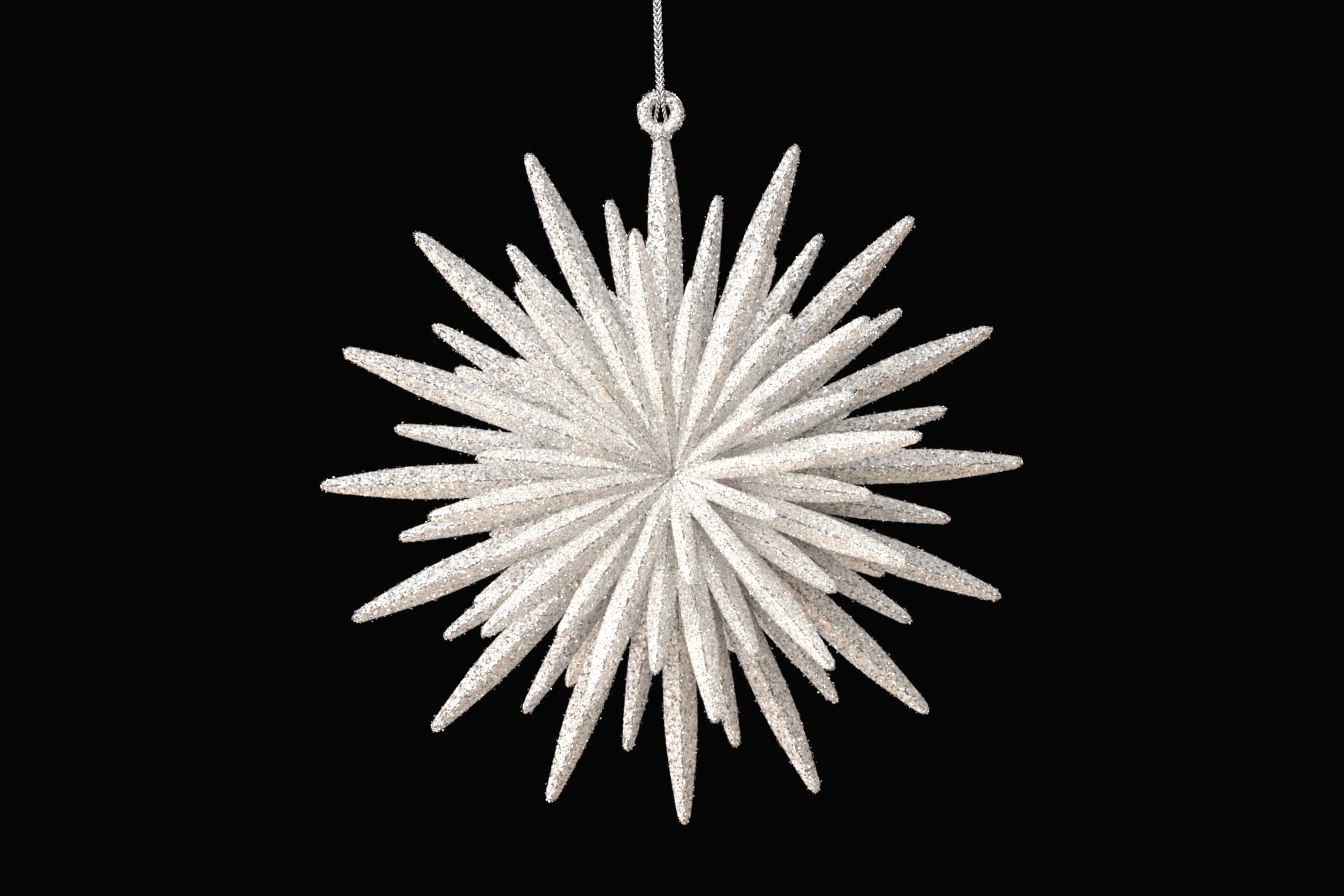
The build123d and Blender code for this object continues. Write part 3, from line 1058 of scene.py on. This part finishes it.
# (name, upper rider, lower rider, lowest z, highest z, bend centre z, bend half length,
# pieces replaced); a zone without a lower rider is attached to its upper rider, the others are left
# unparented
ZONES = [
    ("cord_eye_strands", "hook_end", None, -11.0, 99.0, None, None, ["cord_eye"]),
    ("cord_bend_fore_aft", "hook_end", "upper_cord", -17.0, -11.0, FORE_AFT_Z, 2.9, []),
    ("cord_bend_sideways", "upper_cord", "middle_cord", -24.0, -17.0, SIDEWAYS_Z, 2.9,
     ["cord_upper_length"]),
    ("cord_twist_strands", "middle_cord", "lower_cord", -46.0, -24.0, TWIST_Z, 8.0,
     ["cord_middle_length", "cord_lower_length"]),
    ("cord_bend_at_ring", "lower_cord", "star", ROCK_Z - 2.3, -46.0, ROCK_Z, 2.0, []),
    ("cord_hitch_strands", "star", None, -999.0, ROCK_Z - 2.3, None, None, ["cord_hitch"]),
]


def build_cord():
    right = smooth_path(RIGHT_STRAND)
    left = right * np.array([-1, 1, 1])
    lines = [
        (line, core) for core, hand in ((right, 1), (left, -1)) for line in plies(core, hand, 0.3)
    ]
    for name, upper, lower, lo, hi, bend_z, bend_half, replaced in ZONES:
        ob = cord_object(name, [
            ply_piece(line[run], core[run])
            for line, core in lines
            for run in runs_between(line, lo, hi)
        ])
        if lower is None:
            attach(ob, upper)
        else:
            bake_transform(ob)
        if replaced:
            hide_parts(*replaced)


def build_knot():
    """Both cord ends wound round each other, with two short tails."""
    pieces = []
    t = np.linspace(0, 1, 60)
    r = 0.35 + 0.85 * np.sin(np.pi * np.clip(t * 1.02, 0, 1)) ** 0.45
    for k, side in enumerate((1, -1)):
        a = 2 * np.pi * (1.55 * t + 0.5 * k)
        z = 0.95 + 3.0 * t + 0.22 * np.sin(a * 2)
        coil = np.stack([r * np.cos(a), r * np.sin(a), z], 1)
        tail = np.array([
            [coil[-1, 0] * 1.1, coil[-1, 1], 4.4],
            [side * 1.0, 0.1 * side, 6.2],
            [side * 1.9, 0.3 * side, 8.2],
            [side * 2.6, 0.3 * side, 9.7],
        ])
        path = smooth_path(np.concatenate([coil[::6], tail]))
        pieces += [ply_piece(line, path) for line in plies(path, side, 0.8 * k)]
    knot = cord_object("cord_knot_strands", pieces)
    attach(knot, "hook_end")
    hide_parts("cord_knot")


build_cord()
build_knot()

# ---------------------------------------------------------------------------
# Stage: pale floor, soft lights, camera.  Places are in metres from the star's centre
# ---------------------------------------------------------------------------
CENTRE = Vector((0, 0, STAR_Z * MM))
FLOOR_DROP = 0.62
FLOOR_RADII = [300.0, 900.0, 2300.0]  # mm
FLOOR_SIDES = 96

# (name, offset from the centre, diameter, watts, colour)
LIGHTS = [
    ("key_light", (-0.40, -0.35, 0.20), 0.30, 2.54, (1.0, 0.975, 0.955)),
    ("upper_light", (-0.06, -0.40, 0.44), 0.30, 1.75, (1.0, 0.975, 0.955)),
    ("front_fill", (0.0, -1.15, 0.10), 0.90, 2.9, (1.0, 0.965, 0.94)),
    ("right_fill", (0.60, -0.45, 0.70), 0.60, 1.35, (1.0, 0.94, 0.88)),
    ("right_edge", (0.55, -0.10, 0.10), 0.25, 0.45, (1.0, 0.88, 0.78)),
    ("lower_fill", (-0.40, -0.30, -0.28), 0.26, 0.78, (1.0, 0.975, 0.955)),
    ("warm_left_edge", (-0.40, -0.08, -0.38), 0.25, 1.24, (1.0, 0.60, 0.32)),
    ("warm_right_edge", (0.40, -0.08, -0.38), 0.25, 0.68, (1.0, 0.60, 0.32)),
    ("back_key", (0.30, 1.10, 0.35), 0.70, 10.0, (1.0, 0.96, 0.92)),
    ("back_fill", (-0.40, 1.05, 0.05), 0.70, 4.5, (0.95, 0.97, 1.0)),
]


def build_floor():
    z = (STAR_Z * MM - FLOOR_DROP) / MM
    verts = [(0, 0, z)] + [
        (r * math.cos(a), r * math.sin(a), z)
        for r in FLOOR_RADII
        for a in circle_angles(FLOOR_SIDES)
    ]
    faces = [(0, 1 + j, 1 + (j + 1) % FLOOR_SIDES) for j in range(FLOOR_SIDES)]
    for i in range(len(FLOOR_RADII) - 1):
        inner = 1 + i * FLOOR_SIDES
        for p, q, r, s in band(inner, inner + FLOOR_SIDES, FLOOR_SIDES):
            faces += [(p, r, s), (p, s, q)]
    floor = make_object(
        "floor", np.array(verts), np.array(faces), [floor_material()], smooth=True
    )


def add_light(name, offset, size, watts, colour):
    """Disk light aimed at the star's centre."""
    light = bpy.data.lights.new(name, "AREA")
    light.shape = "DISK"
    light.size = size
    light.energy = watts
    light.color = colour
    ob = bpy.data.objects.new(name, light)
    bpy.context.scene.collection.objects.link(ob)
    place = CENTRE + Vector(offset)
    ob.location = place
    ob.rotation_euler = (CENTRE - place).to_track_quat("-Z", "Y").to_euler()
    ob.visible_camera = False


def build_world():
    world = bpy.data.worlds.new("studio")
    bpy.context.scene.world = world
    world.use_nodes = True
    background = world.node_tree.nodes["Background"]
    background.inputs["Color"].default_value = (0.50, 0.50, 0.51, 1)
    background.inputs["Strength"].default_value = 0.003


def build_camera():
    """Long lens in front of the star, slightly to the left and above."""
    distance = 800.0
    azimuth, elevation, roll = math.radians(-1.4), math.radians(1.7), math.radians(1.9)
    data = bpy.data.cameras.new("camera")
    camera = bpy.data.objects.new("camera", data)
    bpy.context.scene.collection.objects.link(camera)
    bpy.context.scene.camera = camera
    data.sensor_fit = "HORIZONTAL"
    data.sensor_width = 36.0
    data.lens = 99.707143
    data.shift_x = -0.00052083333
    data.shift_y = 0.019345238
    data.clip_start = 0.01
    data.clip_end = 50.0
    back = Vector((
        math.sin(azimuth) * math.cos(elevation),
        -math.cos(azimuth) * math.cos(elevation),
        math.sin(elevation),
    ))
    camera.location = CENTRE + back * (distance * MM)
    aim = (-back).to_track_quat("-Z", "Y").to_matrix()
    camera.rotation_euler = (aim @ Matrix.Rotation(-roll, 3, "Z")).to_euler()


build_floor()
for light_settings in LIGHTS:
    add_light(*light_settings)
build_world()
bpy.context.scene.view_settings.view_transform = "Standard"
build_camera()
